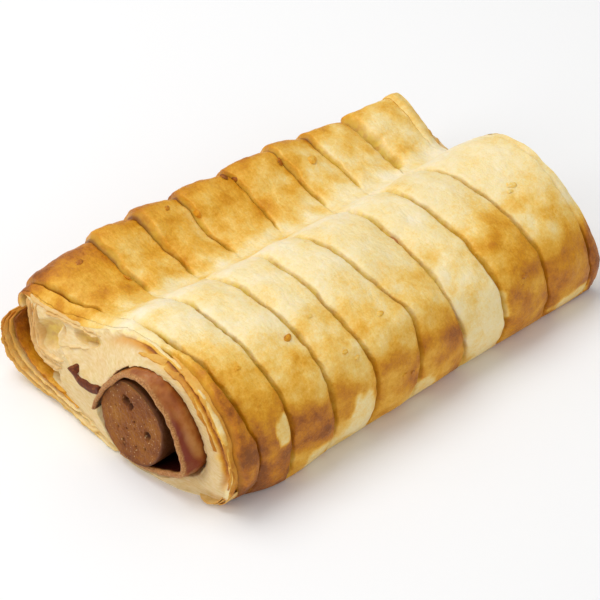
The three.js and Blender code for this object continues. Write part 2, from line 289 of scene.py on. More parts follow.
# Each row of points along the skin: its place, its offset, its strip, and how much slash wall and painted
# crease shade it shows.
rows = []
for strip in range(len(edges) - 1):
    near, far = edges[strip], edges[strip + 1]
    width = far - near
    near_depth = depth_of(strip - 1)
    far_depth = depth_of(strip)
    front_run, back_run = SLASHES[strip - 1][4:] if strip > 0 else (1.0, 1.0)
    run = front_run + (back_run - front_run) * back_share
    run = np.minimum(run * (1 + wander(strip + 120, 6.0, 0.6)), width * 0.45)
    hang = soft(far_depth, 0.1, 1.0)
    lip_scale = np.minimum(1.0, width * 0.22)
    start = near + WALL[-1][0] * run
    end = far - LIP[0][0] * lip_scale
    steps = TOP_STEPS if 1 < strip < len(SLASHES) else 6
    crease_shade_from = 0.75 if strip > 2 else 0.45
    profile = []
    if strip > 0:
        profile += [(near + share * run, near_depth * drop, 1 - max(0, share - 0.6) / 0.4)
                    for share, drop in WALL[:-1]]
    profile += [(start + (end - start) * i / steps, 0.0, 0.0) for i in range(steps)]
    profile += [(far - q * lip_scale, far_depth * drop, 0.0) for q, drop in LIP[:-2]]
    profile += [(far + 0.04 * (1 - hang) - q * lip_scale * hang, far_depth * drop, 1.0)
                for q, drop in LIP[-2:]]
    for index, (x, drop, wall) in enumerate(profile):
        t = np.clip((x - near) / width, 0, 1)
        puff = np.sin(np.pi * t ** 0.85) ** 0.7 * np.minimum(width / 14, 1)
        tilt = (0.5 - t) * (BACK_TILT[strip] * back_ridge - 0.9 * front_part * (strip > 1))
        nearer = near_depth if index < len(profile) / 2 else far_depth
        shows = np.minimum(1, nearer / 1.5)
        # How much painted crease shade each row gets, darkest at the foot of the slash.
        shaded_crease = soft(-drop / np.maximum(nearer, 0.1), crease_shade_from, 1.0) * shows
        rows.append((x, drop + tilt + (puff - 0.5) * (front_puff * 1.25 + back_part),
                     np.full(columns, strip), wall * shows, shaded_crease))
rows.append((edges[-1], -0.4 * (front_part + back_part), np.full(columns, len(edges) - 2),
             np.zeros(columns), np.zeros(columns)))
skin_x, drop, strip_of, wall_share, crease_shade = (np.array(values) for values in zip(*rows))

skin = skin_at(skin_x, around)
tangent = skin_at(skin_x, around + 0.04) - skin_at(skin_x, around - 0.04)
tangent /= np.linalg.norm(tangent, axis=-1, keepdims=True) + 1e-9
outward = np.stack([-tangent[..., 1], tangent[..., 0]], axis=-1)

skin_y, skin_z = skin[..., 0], skin[..., 1]
raw = np.dstack([skin_x, skin])
lumps = 0.5 * grain(raw, 10.0, 1) + 0.32 * grain(raw, 4.2, 2) + 0.17 * grain(raw, 1.9, 3)
lumps *= soft(skin_z, 0.3, 5)
rolled = 0.7 * soft(skin_x, far_edge - 3, far_edge) ** 2
crumbly = (1 - soft(skin_x, -58, -50)) * (1 - soft(skin_y, -18, -6))
lumps += crumbly * 0.22 * grain(raw, 1.4, 4) * soft(skin_z, 0.3, 5)
# The mid leaf at the near end stands out, fullest over the shoulder.
leaf_bulge = (strip_of == 1) * (1 - soft(skin_y, -24, -12)) * soft(skin_z, 3, 14)
# The seam where the lower sheet's edge meets the folded upper one, along the back.
seam_z = 20 + 1.8 * grain(np.dstack([skin_x, skin_x * 0, skin_x * 0]), 14.0, 9)
seam = np.exp(-((skin_z - seam_z) / 0.8) ** 2) * soft(skin_y, 40, 45)
seam *= 1 - soft(skin_x, 20, 60) * 0.5
offset = drop + lumps + 1.7 * leaf_bulge - 1.4 * seam - rolled
skin = skin + outward * offset[..., None]
skin[..., 1] = np.where(on_base[None, :], 0.0, np.maximum(skin[..., 1], 0.0))

# The far end: the skin turns in to a lip round the filling.
near_lip = curve_at(NEAR_LIP, around)
far_lip = near_lip.copy()
far_lip[:, 0] = far_edge - 0.8
far_scale = np.column_stack([np.full(columns, 0.86), np.where(far_lip[:, 2] < 12, 0.99, 0.86)])
far_lip[:, 1:] = FACE_MIDDLE + (far_lip[:, 1:] - FACE_MIDDLE) * far_scale
skin_points = np.dstack([skin_x, skin])


def face_rows(outer, lip, shares, power=1.15):
    """Rings of an end face from its outer edge to its lip."""
    rings = []
    for share in shares:
        ring = outer + (lip - outer) * share
        ring[:, 0] = outer[:, 0] + (lip[:, 0] - outer[:, 0]) * share ** power
        rings.append(ring)
    return np.array(rings)


far_shares = np.linspace(0, 1, FAR_FACE_RINGS + 1)[1:]
far_face = face_rows(skin_points[-1], far_lip, far_shares)
far_face[..., 0] += 0.5 * grain(far_face, 3.0, 12) + 0.3 * grain(far_face, 1.2, 13)
far_face[..., 0] += 0.35 * grain(far_face * [0, 0.2, 1], 1.0, 27)
sag = 2.6 * np.sin(np.pi * far_shares[:, None]) ** 0.6
sag = sag * soft(far_face[..., 1], 4, 12) * soft(far_face[..., 2], 8, 16)
far_face[..., 2] = np.maximum(far_face[..., 2] - sag, 0)
tunnel = face_rows(far_lip, near_lip, np.linspace(0, 1, TUNNEL_RINGS + 2)[1:-1], 1.0)
tunnel[..., 1:] = FACE_MIDDLE + (tunnel[..., 1:] - FACE_MIDDLE) * [0.93, 0.97]
tunnel[..., 2] = np.maximum(tunnel[..., 2], 1.0)

# The near end: rings from the opening's lip out to the skin. In front it is a swelling collar of dough;
# behind, it is the cut face of the folded sheet, with two puffed hollows and the gap under the fold.
shares = 1 - np.linspace(0, 1, NEAR_FACE_RINGS + 1)[:-1] ** 0.95
near_face = face_rows(skin_points[0], near_lip, shares, 1.05)
near_x, near_y, near_z = np.moveaxis(near_face, -1, 0)  # views, so changing them changes near_face
y, z = near_y.copy(), near_z.copy()
share_in = shares[:, None] * np.ones(columns)
collar = (1 - soft(y, -2, 12)) * soft(z, 1, 6)
near_x -= collar * 1.3 * np.sin(np.pi * share_in) ** 0.7
# A groove parts the collar from the first leaf outside it.
groove = collar * soft(z, 6, 12) * np.exp(-((share_in - 0.2) / 0.09) ** 2)
near_x += 1.3 * groove
behind = soft(y, 4, 12) * np.sin(np.pi * np.clip(share_in, 0, 1)) ** 0.5
near_x += behind * soft(z, 10, 15) * 0.8
plain_x = near_x.copy()


def face_x(place_y, place_z):
    """How far out the near end's face stands at a point of it."""
    nearest = np.argmin(np.hypot(y - place_y, z - place_z))
    return plain_x.ravel()[nearest]


def dent(centre, half, tilt):
    """A smooth hollow in the near face, 0 to 1: its centre, half sizes and tilt in degrees."""
    c, s = math.cos(math.radians(tilt)), math.sin(math.radians(tilt))
    dy, dz = y - centre[0], z - centre[1]
    u, v = (dy * c + dz * s) / half[0], (-dy * s + dz * c) / half[1]
    return np.clip(1 - (u * u + v * v) ** 1.3, 0, 1)


def along(line, near_width, far_width):
    """How close each point of the face is to a line across it: 1 on it, 0 at far_width from it."""
    close = np.zeros_like(y)
    for (ya, za), (yb, zb) in zip(line, line[1:]):
        dy, dz = yb - ya, zb - za
        t = np.clip(((y - ya) * dy + (z - za) * dz) / (dy ** 2 + dz ** 2), 0, 1)
        away_from = np.hypot(y - ya - t * dy, z - za - t * dz)
        close = np.maximum(close, 1 - soft(away_from, near_width, far_width))
    return close


pocket_big = dent((29.0, 20.6), (6.8, 4.4), -18)
pocket_small = dent((15.4, 25.6), (5.6, 1.7), -8)
pocket_left = dent((36.6, 22.6), (2.6, 1.3), 35)
gap = along([(24, 9.6), (30, 8.9), (34.5, 9.8), (37.8, 13), (39.4, 17), (40.8, 21.5), (42.2, 24)],
            0.7, 2.2)
near_x += 4.0 * pocket_big + 2.2 * pocket_small + 1.6 * pocket_left
near_z -= 1.2 * pocket_big + 1.6 * pocket_small
near_x += 8.0 * gap * soft(share_in, 0.0, 0.1)
layered = grain(np.dstack([y * 0, y * 0.25, z]), 0.9, 21)
rough = soft(share_in, 0, 0.1)
near_x += rough * (0.14 * layered * soft(y, 0, 10) + 0.28 * grain(near_face, 4.0, 22)
                   + 0.08 * grain(near_face, 1.0, 23))
# The lip is ragged where the dough tore round the ham.
ragged = soft(share_in, 0.92, 1.0) * (1 - soft(y, -2, 4))
near_x += ragged * 0.8 * grain(near_face, 1.1, 24)
near_y += ragged * 0.35 * grain(near_face, 0.9, 25)
near_z += ragged * 0.35 * grain(near_face, 0.9, 26)
near_z[:] = np.maximum(near_z, 0.0)

rings = np.concatenate([skin_points, far_face, tunnel, near_face])


def new_piece(name, verts, faces):
    """A smooth-shaded piece from its points, in metres, and its faces, which are turned outwards."""
    mesh = bpy.data.meshes.new(name)
    mesh.from_pydata([tuple(p) for p in verts], [], faces)
    piece = bpy.data.objects.new(name, mesh)
    bpy.context.collection.objects.link(piece)
    bpy.context.view_layer.objects.active = piece
    piece.select_set(True)
    bpy.ops.object.mode_set(mode="EDIT")
    bpy.ops.mesh.select_all(action="SELECT")
    bpy.ops.mesh.normals_make_consistent(inside=False)
    bpy.ops.object.mode_set(mode="OBJECT")
    bpy.ops.object.shade_smooth()
    return piece


def grid_piece(name, rings, joined=False, caps=()):
    """A piece woven through rings of points. The last ring joins the first, or each end closes in a fan."""
    count, turns = rings.shape[:2]
    verts = list(rings.reshape(-1, 3) * MM)
    faces = []
    for i in range(count if joined else count - 1):
        a, b = i * turns, (i + 1) % count * turns
        faces += [(a + j, a + (j + 1) % turns, b + (j + 1) % turns, b + j) for j in range(turns)]
    for ring in caps:
        a = (ring % count) * turns
        middle = len(verts)
        verts.append(rings[ring].mean(axis=0) * MM)
        faces += [(middle, a + j, a + (j + 1) % turns) for j in range(turns)]
    return new_piece(name, verts, faces)


crust = grid_piece("crust", rings, joined=True)

# Painted values for the dough's material: how far it is baked, how much of it is bare inner dough, how much
# of it is a slash's wall (golden cut dough, painted darker as shade) and the crease at its foot (painted
# shade).
px, py, pz = np.moveaxis(skin_points, -1, 0)
heights = np.array(FRONT_BAKE)[strip_of]
side = soft(pz, 20, 27)
front_bake = np.where(pz > 17, heights[..., 1] + (heights[..., 0] - heights[..., 1]) * side,
                      heights[..., 2] + (heights[..., 1] - heights[..., 2]) * soft(pz, 6, 15))
top_share = soft(pz, 27, 35) * soft(py, -36, -20)
front_bake = front_bake * (1 - top_share) + top_share * 0.17
back_bake = np.array(BACK_BAKE)[strip_of]
# The back side below the seam is one strip of dough, evenly baked.
back_bake += (0.52 - back_bake) * (1 - soft(pz, 14, 25)) * soft(py, 38, 43)
back_bake += 0.26 * soft(py, 34, 43) + 0.1 * (1 - soft(pz, 8, 30)) * soft(py, 40, 46)
bake = front_bake * (1 - soft(py, 0, 12)) + back_bake * soft(py, 0, 12)
bake -= 0.32 * soft(py, -2, 6) * (1 - soft(py, 12, 23))
golden = (1 - soft(px, -60, -44)) * (1 - soft(py, -20, -6)) * top_share * (strip_of > 0)
bake += 0.26 * golden
blotch = grain(skin_points, 5.0, 32)
bake += 0.12 * grain(skin_points, 10.0, 31) + 0.16 * blotch * (0.35 + (1 - top_share))
# Places where the skin stayed pale low on the strips: x, y, z and how far the patch reaches along and up.
PALE = [(-48.6, -44, 20, 3.0, 5), (-20.5, -46, 10, 5.5, 9), (31, -45, 17, 6.0, 10), (29, -42, 6, 6.5, 6),
        (-36, -44, 4, 5, 5), (65, -44, 4, 9, 3.2), (44, 4, 30, 8, 6), (62, -14, 34, 9, 5),
        (3, -46, 5, 5, 5), (-67, -35, 7, 4, 6)]
for x, y0, z0, reach, rise in PALE:
    far_off = ((px - x) / reach) ** 2 + ((pz - z0) / rise) ** 2 + ((py - y0) / 9) ** 2
    far_off += 0.5 * grain(skin_points, 3.0, 35)
    bake -= (bake - 0.16) * (1 - soft(far_off, 0.55, 1.15)) * 0.8
# The creases of the three near strips are painted browner still, as shade.
bake += 0.6 * crease_shade * (strip_of < 3)
bake[:, on_base] = 0.72
bake += 0.10 * crumbly * grain(skin_points, 2.0, 33)
inner_skin = (strip_of == 0) * (1 - soft(py, 6, 16)) * 0.2
# The slash walls are golden cut dough, also painted darker than the tops as shade.
slit = np.clip(wall_share, 0, 1)
in_front = (1 - soft(y, -12, -2)) * soft(z, 9, 18)
skin_share = share_in + 0.12 * grain(near_face, 2.2, 36)
face_bake = 0.14 + 0.10 * grain(near_face, 4.0, 34) + 0.25 * gap
face_bake += 0.35 * (1 - soft(share_in, 0.0, 0.08)) * soft(y, 14, 24)
# In front the collar's outer edge is baked golden, and its groove is painted darker as shade.
face_bake += 0.34 * in_front * (1 - soft(skin_share, 0.15, 0.62)) + 0.55 * groove
face_bake += 0.5 * soft(y, 36, 43) * (1 - soft(z, 10, 18))
face_inner = soft(skin_share, 0.2 * in_front, 0.1 + 0.4 * in_front)
# The gap under the fold takes the baked wall colour; the hollows are painted with it as shade.
face_slit = gap * 1.2 + 0.75 * pocket_big + 0.7 * pocket_small + 0.6 * pocket_left


def paint(piece, name, values):
    """Stores one number per vertex under name, for the piece's material to read."""
    layer = piece.data.attributes.new(name, "FLOAT", "POINT")
    layer.data.foreach_set("value", np.clip(np.asarray(values, dtype=np.float32), 0, 1).ravel())


def paint_rings(name, on_skin, on_far_face, in_tunnel, on_near_face):
    """Paints the crust: an array for its skin and its near face, a number for the rings between them."""
    far_values = np.full((FAR_FACE_RINGS, columns), on_far_face)
    tunnel_values = np.full((TUNNEL_RINGS, columns), in_tunnel)
    paint(crust, name, np.concatenate([on_skin, far_values, tunnel_values, on_near_face]))


paint_rings("bake", bake + 0.28 * seam, 0.25, 0.3, face_bake)
paint_rings("inner", inner_skin, 1.0, 1.0, face_inner)
paint_rings("slit", slit, 0.0, 1.0, face_slit)
paint_rings("crease_shade", crease_shade, 0.0, 0.0, np.zeros(face_bake.shape))


def linear(hex_colour):
    """A colour written as six hex digits, as the linear colour that a shader takes."""
    parts = [int(hex_colour[i:i + 2], 16) / 255 for i in (0, 2, 4)]
    return tuple(p / 12.92 if p <= 0.04045 else ((p + 0.055) / 1.055) ** 2.4 for p in parts) + (1.0,)


class Nodes:
    """A material's node tree, written one short line per node."""

    def __init__(self, name):
        self.material = bpy.data.materials.new(name)
        self.material.use_nodes = True
        self.tree = self.material.node_tree
        self.shader = self.tree.nodes["Principled BSDF"]

    def add(self, kind, settings=None, **inputs):
        node = self.tree.nodes.new(kind)
        for key, value in (settings or {}).items():
            setattr(node, key, value)
        self.fill(node, inputs)
        return node

    def fill(self, node, inputs):
        for key, value in inputs.items():
            self.set(node.inputs[key.replace("_", " ")], value)

    def set(self, socket, value):
        if isinstance(value, bpy.types.NodeSocket):
            self.tree.links.new(value, socket)
        else:
            socket.default_value = value

    def painted(self, name):
        return self.add("ShaderNodeAttribute", {"attribute_name": name}).outputs["Fac"]

    def noise(self, size_mm, detail=3.0, rough=0.55, stretch=None):
        place = self.add("ShaderNodeTexCoord").outputs["Object"]
        if stretch:
            mapping = self.add("ShaderNodeMapping", Vector=place)
            mapping.inputs["Scale"].default_value = stretch
            place = mapping.outputs["Vector"]
        scale = 1 / (size_mm * MM)
        made = self.add("ShaderNodeTexNoise", Vector=place, Scale=scale, Detail=detail, Roughness=rough)
        return made.outputs["Fac"]

    def math(self, operation, a, b, clamp=False):
        node = self.add("ShaderNodeMath", {"operation": operation, "use_clamp": clamp})
        self.set(node.inputs[0], a)
        self.set(node.inputs[1], b)
        return node.outputs[0]

    def times(self, a, b, clamp=False):
        return self.math("MULTIPLY", a, b, clamp)

    def plus(self, a, b, clamp=False):
        return self.math("ADD", a, b, clamp)

    def ramp(self, value, stops):
        node = self.add("ShaderNodeValToRGB", Fac=value)
        elements = node.color_ramp.elements
        while len(elements) < len(stops):
            elements.new(0.5)
        for element, (position, colour) in zip(elements, stops):
            element.position = position
            element.color = linear(colour)
        return node.outputs["Color"]

    def mix(self, share, a, b):
        node = self.add("ShaderNodeMix", {"data_type": "RGBA"})
        self.set(node.inputs[0], share)
        self.set(node.inputs[6], a)
        self.set(node.inputs[7], b)
        return node.outputs[2]

    def finish(self, **inputs):
        self.fill(self.shader, inputs)
        return self.material

    def bump(self, height, strength, distance_mm, under=None):
        node = self.add("ShaderNodeBump", Height=height, Strength=strength, Distance=distance_mm * MM)
        if under is not None:
            self.set(node.inputs["Normal"], under)
        return node.outputs["Normal"]


def dough_material():
    """Baked dough: cream where pale, through gold to brown, with bare layered dough where it is cut; slash
    walls, hollows and creases are painted darker as shade.
    """
    n = Nodes("baked_dough")

    def browned(gain, pale, brown):
        """A colour that goes from pale to brown as the dough bakes."""
        return n.mix(n.times(n.painted("bake"), gain, clamp=True), pale, linear(brown))

    patches = n.math("SUBTRACT", n.noise(7.0, 4.0, 0.6), 0.5)
    mottle = n.math("SUBTRACT", n.noise(1.6, 4.0, 0.65), 0.5)
    specks = n.math("SUBTRACT", n.noise(0.55, 2.0, 0.6), 0.5)
    baked = n.plus(n.painted("bake"), n.times(patches, 0.34))
    baked = n.plus(baked, n.times(mottle, 0.36))
    baked = n.plus(baked, n.times(specks, 0.2), clamp=True)
    crust_colour = n.ramp(baked, [(0.0, "FAEBC6"), (0.2, "F7DFA0"), (0.38, "F2C868"), (0.53, "E8AE38"),
                                  (0.66, "D89410"), (0.8, "C2780A"), (0.91, "A65E0C"), (1.0, "884A0A")])
    threads = n.noise(0.8, 3.0, 0.6, (0.5, 0.35, 1.6))
    inner_colour = n.ramp(n.plus(threads, n.times(patches, 0.3)),
                          [(0.2, "D8BA76"), (0.42, "E2CA92"), (0.62, "EAD6A8"), (0.8, "F0E0BA")])
    inner_colour = browned(1.3, inner_colour, "D79A45")
    colour = n.mix(n.painted("inner"), crust_colour, inner_colour)
    # The slash walls take the golden colour of cut dough, painted darker than the tops as shade.
    wall_colour = browned(1.2, linear("F0D348"), "BE7E12")
    caramel = n.ramp(n.noise(2.6, 2.0, 0.5), [(0.50, "000000"), (0.62, "FFFFFF")])
    wall_colour = n.mix(n.times(caramel, 0.6), wall_colour, linear("BE7A1C"))
    colour = n.mix(n.times(n.painted("slit"), 0.85), colour, wall_colour)
    # The creases at the walls' feet are painted dark brown as shade.
    shaded_crease = browned(1.4, linear("CCA82A"), "743C08")
    colour = n.mix(n.times(n.painted("crease_shade"), 0.8), colour, shaded_crease)
    roughness = n.plus(n.times(n.noise(2.5, 3.0), 0.22), 0.36)
    roughness = n.plus(roughness, n.times(n.painted("inner"), 0.25))
    # Bare dough is smoother than the skin.
    fine_strength = n.math("SUBTRACT", 0.25, n.times(n.painted("inner"), 0.17))
    wrinkle_strength = n.math("SUBTRACT", 0.44, n.times(n.painted("inner"), 0.34))
    fine = n.bump(n.noise(0.45, 3.0, 0.6), fine_strength, 0.25)
    wrinkles = n.bump(n.noise(1.5, 5.0, 0.62, (1.3, 0.7, 0.9)), wrinkle_strength, 0.9, fine)
    return n.finish(Base_Color=colour, Roughness=roughness, Specular_IOR_Level=0.32, Normal=wrinkles,
                    Subsurface_Weight=0.15, Subsurface_Radius=(1.0, 0.62, 0.3), Subsurface_Scale=0.8 * MM)


dough = dough_material()
crust.data.materials.append(dough)
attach(crust, "root")
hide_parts("pastry")
bpy.ops.object.select_all(action="DESELECT")

# ---- The dough's cut layers ----
# Thin baked leaves of the same dough, parted where the roll's near end was cut. A stack of them curls up at
# the back corner, and finer ones edge the fold above it and its two hollows.


def smooth_line(points, count):
    """An open smooth curve through the points, at count even steps."""
    table = np.array(points, dtype=float)
    table = np.vstack([2 * table[0] - table[1], table, 2 * table[-1] - table[-2]])
    s = np.linspace(1, len(points) - 1e-6, count)
    base = np.floor(s).astype(int)
    t = (s - base)[:, None]
    return blend_through(*(table[np.minimum(base + k, len(table) - 1)] for k in (-1, 0, 1, 2)), t)


def line_normals(line):
    """The normals, as x, y, z, of a line given as y, z."""
    direction = np.gradient(line, axis=0)
    direction /= np.linalg.norm(direction, axis=1, keepdims=True) + 1e-9
    return np.column_stack([np.zeros(len(line)), direction[:, 1], -direction[:, 0]])


def sheet_mesh(name, middle, normal, thick):
    """A closed thin sheet: middle has a row per step in from the rim and a column per step along it."""
    rows, cols = middle.shape[:2]
    top = middle + normal * thick[..., None] / 2
    under = middle - normal * thick[..., None] / 2
    verts = np.concatenate([top.reshape(-1, 3), under.reshape(-1, 3)])
    verts[:, 2] = np.maximum(verts[:, 2], 0.0)
    half = rows * cols
    faces = []
    for i in range(rows - 1):
        for j in range(cols - 1):
            a, b = i * cols + j, (i + 1) * cols + j
            faces.append((a, a + 1, b + 1, b))
            faces.append((half + a, half + b, half + b + 1, half + a + 1))
    rim = list(range(cols)) + [i * cols + cols - 1 for i in range(1, rows)]
    rim += [(rows - 1) * cols + j for j in range(cols - 2, -1, -1)]
    rim += [i * cols for i in range(rows - 2, 0, -1)]
    faces += [(a, half + a, half + b, b) for a, b in zip(rim, rim[1:] + rim[:1])]
    return new_piece(name, verts * MM, faces)


leaves = []
LEAF_FINENESS = 0.42
LEAF_STEPS = [0, 0.2, 0.6, 1.2, 2.0, 3.0, 4.2]


def leaf(path, depth, thick, seed, ragged=0.5, baked=(0.3, 0.3), bare=0.8, inward=1):
    """One leaf of dough: its edge runs along path, as x, y, z, and it goes depth into the roll."""
    length = np.linalg.norm(np.diff(np.array(path), axis=0), axis=1).sum()
    count = int(length / LEAF_FINENESS)
    line = smooth_line(path, count)
    share = np.linspace(0, 1, count)
    normal = line_normals(line[:, 1:])
    rounding = 2.4 * (1 - soft(np.minimum(share, 1 - share) * length, 0, 3.5))
    middle, normals, thickness = [], [], []
    for step in LEAF_STEPS + list(np.arange(6, depth, 2.0)):
        row = line + [step * inward, 0, 0]
        tear = ragged * (grain(line, 2.6, seed) + 0.6 * grain(line, 0.9, seed + 0.5)) * math.exp(-step / 3)
        row[:, 0] += inward * (tear + rounding * max(0, 1 - step / depth))
        row += normal * (0.28 * grain(row * [0.3, 1, 1], 3.2, seed + 0.2) * math.exp(-step / 6))[:, None]
        middle.append(row)
        normals.append(normal)
        ends = np.clip(np.minimum(share, 1 - share) * length / 2.5, 0.12, 1) ** 0.6
        thickness.append(thick * ends * (0.35 if step == 0 else 0.72 if step < 0.3 else 1.0)
                         * (1 + 0.25 * grain(row, 1.8, seed + 0.7)))
    piece = sheet_mesh("leaf", np.array(middle), np.array(normals), np.array(thickness))
    rows = len(middle)
    browned = baked[0] + (baked[1] - baked[0]) * share + 0.12 * grain(line, 3.0, seed + 0.9)
    browned = browned + 0.18 * np.exp(-np.arange(rows) / 1.2)[:, None]
    paint(piece, "bake", np.concatenate([browned, browned]))
    paint(piece, "inner", np.full(2 * browned.size, bare))
    for name in ("slit", "crease_shade"):
        paint(piece, name, np.zeros(2 * browned.size))
    leaves.append(piece)


def between(outer, inner, share):
    """The line a share of the way from one line to another."""
    return np.array(outer) * (1 - share) + np.array(inner) * share


# The lower sheet's stack, from its outermost leaf to the gap under the fold.
SHEET_OUT = [(-72.4, 44.5, 20.6), (-72.7, 45.2, 16.5), (-72.8, 45.4, 12.8), (-72.7, 44.5, 9.2),
             (-72.5, 42.0, 6.0), (-72.1, 38.2, 3.4), (-71.6, 32.6, 1.5), (-71.1, 26, 0.8),
             (-71.2, 18, 0.7), (-71.8, 10, 0.6), (-72.6, 2, 0.6), (-73.2, -6, 0.7)]
SHEET_IN = [(-71.2, 41.0, 21.8), (-71.3, 41.4, 19), (-71.4, 41.0, 15.7), (-71.4, 39.2, 12.5),
            (-71.5, 36.6, 10.2), (-71.6, 33, 8.3), (-71.8, 28.5, 7.2), (-72.0, 23.5, 6.6),
            (-72.4, 17, 5.6), (-72.8, 10.5, 4.6), (-73.0, 4, 3.6), (-73.2, -2, 2.6)]
# Each leaf of it: its share of the way in, how far it is set back, and how many points long it is.
STACK = [(0.0, 0.0, 12), (0.17, 0.8, 12), (0.36, -0.3, 11), (0.52, 0.9, 11), (0.70, 0.1, 10),
         (0.86, 1.1, 10), (1.0, 0.6, 9)]
for k, (share, set_back, last) in enumerate(STACK):
    line = between(SHEET_OUT, SHEET_IN, share)
    line[:, 0] += set_back
    by_the_gap = k >= 5
    leaf(line[:last], 9, 0.42 if k else 0.7, 71 + k, 0.55,
         (1.0, 0.45) if by_the_gap else (0.56, 0.10), 0 if by_the_gap else 0.35)

# The folded sheet's edge round its hollows, riding on the near face.
FOLD_OUT = [(41.8, 26.6), (40.2, 23.8), (38.8, 18.6), (36.6, 14.8), (33.6, 12.3), (29.5, 11.3),
            (25, 11.7), (20, 13)]
FOLD_IN = [(36.8, 26.6), (36.0, 25.0), (35.2, 20.8), (33.6, 17), (30.8, 15.1), (27, 14.8),
           (23, 15.8), (19, 17.2)]
# Each leaf of it: its share of the way in, how proud of the face it stands, and its thickness.
FOLD = [(0.0, 0.5, 0.95), (0.3, 0.9, 0.6), (0.62, 0.5, 0.7), (1.0, 0.9, 0.5)]
for k, (share, proud, thick) in enumerate(FOLD):
    path = [(face_x(a, b) - proud, a, b) for a, b in between(FOLD_OUT, FOLD_IN, share)]
    leaf(path, 7, thick, 81 + k, 0.5, (0.42, 0.12), 0.9)
for k, (line, proud, thick) in enumerate([
        ([(42, 26.8), (36, 26.0), (30, 26.2), (24, 26.6), (18, 27.2), (12, 28.0), (6, 29.4)], 0.35, 0.8),
        ([(34.5, 25.0), (29, 25.7), (23, 26.2), (17, 26.6), (11, 27.2)], 0.7, 0.5),
        ([(26.2, 24.8), (24.4, 22.8), (22.0, 21.8), (19, 22.2), (15, 23.2), (10.5, 24.6)], 0.5, 0.7),
        ([(24.0, 20.0), (21.6, 19.0), (19.6, 19.4), (18, 20.4)], 0.4, 0.5)]):
    path = [(face_x(a, b) - proud, a, b) for a, b in line]
    leaf(path, 6, thick, 91 + k, 0.6, (0.35, 0.15) if k < 2 else (0.1, 0.1), 0.85)

# Two leaves that peel off the swelling collar in front, along its outer side.
for share, first, last, thick, seed in [(0.36, 3.3, 8.6, 0.6, 111), (0.05, 1.6, 7.6, 0.7, 112)]:
    row = near_face[np.argmin(abs(shares - share))]
    path = [row[np.argmin(abs(around - place))] - [0.4, 0, 0] for place in np.arange(first, last, 0.6)]
    leaf(path, 3.5, thick, seed, 0.6, (0.72, 0.5), 0.3)

# Leaves that part at the far end, round the front hump and across the back one.
for share, first, last, seed in [(0.12, 1.5, 9.0, 121), (0.34, 2.0, 8.6, 122), (0.16, 12.5, 18.6, 123),
                                 (0.36, 13, 18.4, 124), (0.56, 13.5, 18, 125)]:
    row = far_face[int(share * len(far_face))]
    path = [row[np.argmin(abs(around - place))] + [0.3, 0, 0] for place in np.arange(first, last, 0.6)]
    leaf(path, 3.5, 0.8, seed, 0.3, (0.55, 0.3), 0.6, -1)

# A few crumbly leaves at the front corner of the base.
for k in range(3):
    x = 0.5 * k
    out = 0.8 * k
    leaf([(x - 69.0, -30 - out, 0.5 + 0.3 * k), (x - 68.8, -36 - out, 0.9), (x - 68.4, -39.6 - out, 3.0),
          (x - 68.2, -41.4 - out, 6.4)], 4, 0.35, 101 + k, 0.6, (0.3, 0.5), 0.6)


def join_pieces(pieces, name):
    """Joins pieces into one object."""
    bpy.ops.object.select_all(action="DESELECT")
    for piece in pieces:
        piece.select_set(True)
    bpy.context.view_layer.objects.active = pieces[0]
    bpy.ops.object.join()
    joined = bpy.context.object
    joined.name = name
    joined.data.materials.append(dough)
    return joined


layers = join_pieces(leaves, "cut_layers")
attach(layers, "root")
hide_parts("pastry")
bpy.ops.object.select_all(action="DESELECT")

# ---- The crust's blisters ----
# Small bubbles that rose in the skin while it baked, on the strips of both humps. Each is a low dome of the
# same dough, sunk in the middle. Each row is its place, its radius, and how much darker it is baked.
BLISTERS = [
    (-33, -30, 34.5, 1.2, 0.5), (-5, -37, 31.3, 1.0, 0.1), (62, -23, 33.7, 1.3, 0.14),
    (60, -24.5, 33, 0.8, 0.05), (34, 30.6, 28.5, 1.7, 0.14), (-21.7, -40.5, 29.3, 0.8, 0.1),
    (45, -45, 22, 1.0, 0.05), (43, -45.5, 20, 0.7, 0.05), (-23, -28, 35, 0.7, 0.02),
    (-19, -42.5, 27, 0.8, 0.05), (-5.6, -47.4, 16.4, 0.8, 0.02), (-2.5, -47.5, 15.4, 0.7, 0.02),
    (-43, 24, 30, 1.3, 0.05), (-10, 32, 30.6, 1.4, 0.14), (-17, 37, 33.7, 0.9, 0.2),
    (6.7, 39, 32, 1.1, 0.4), (10.3, 37, 30, 1.0, 0.35), (25.3, 35, 30, 1.4, 0.3),
    (-51, 36, 31, 1.1, 0.12), (-52, -30, 33, 0.7, 0.03)]


def skin_bake(place):
    """How far the skin is baked at its point nearest to a place."""
    far = np.linalg.norm(skin_points - place, axis=-1)
    return bake.ravel()[np.argmin(far)]


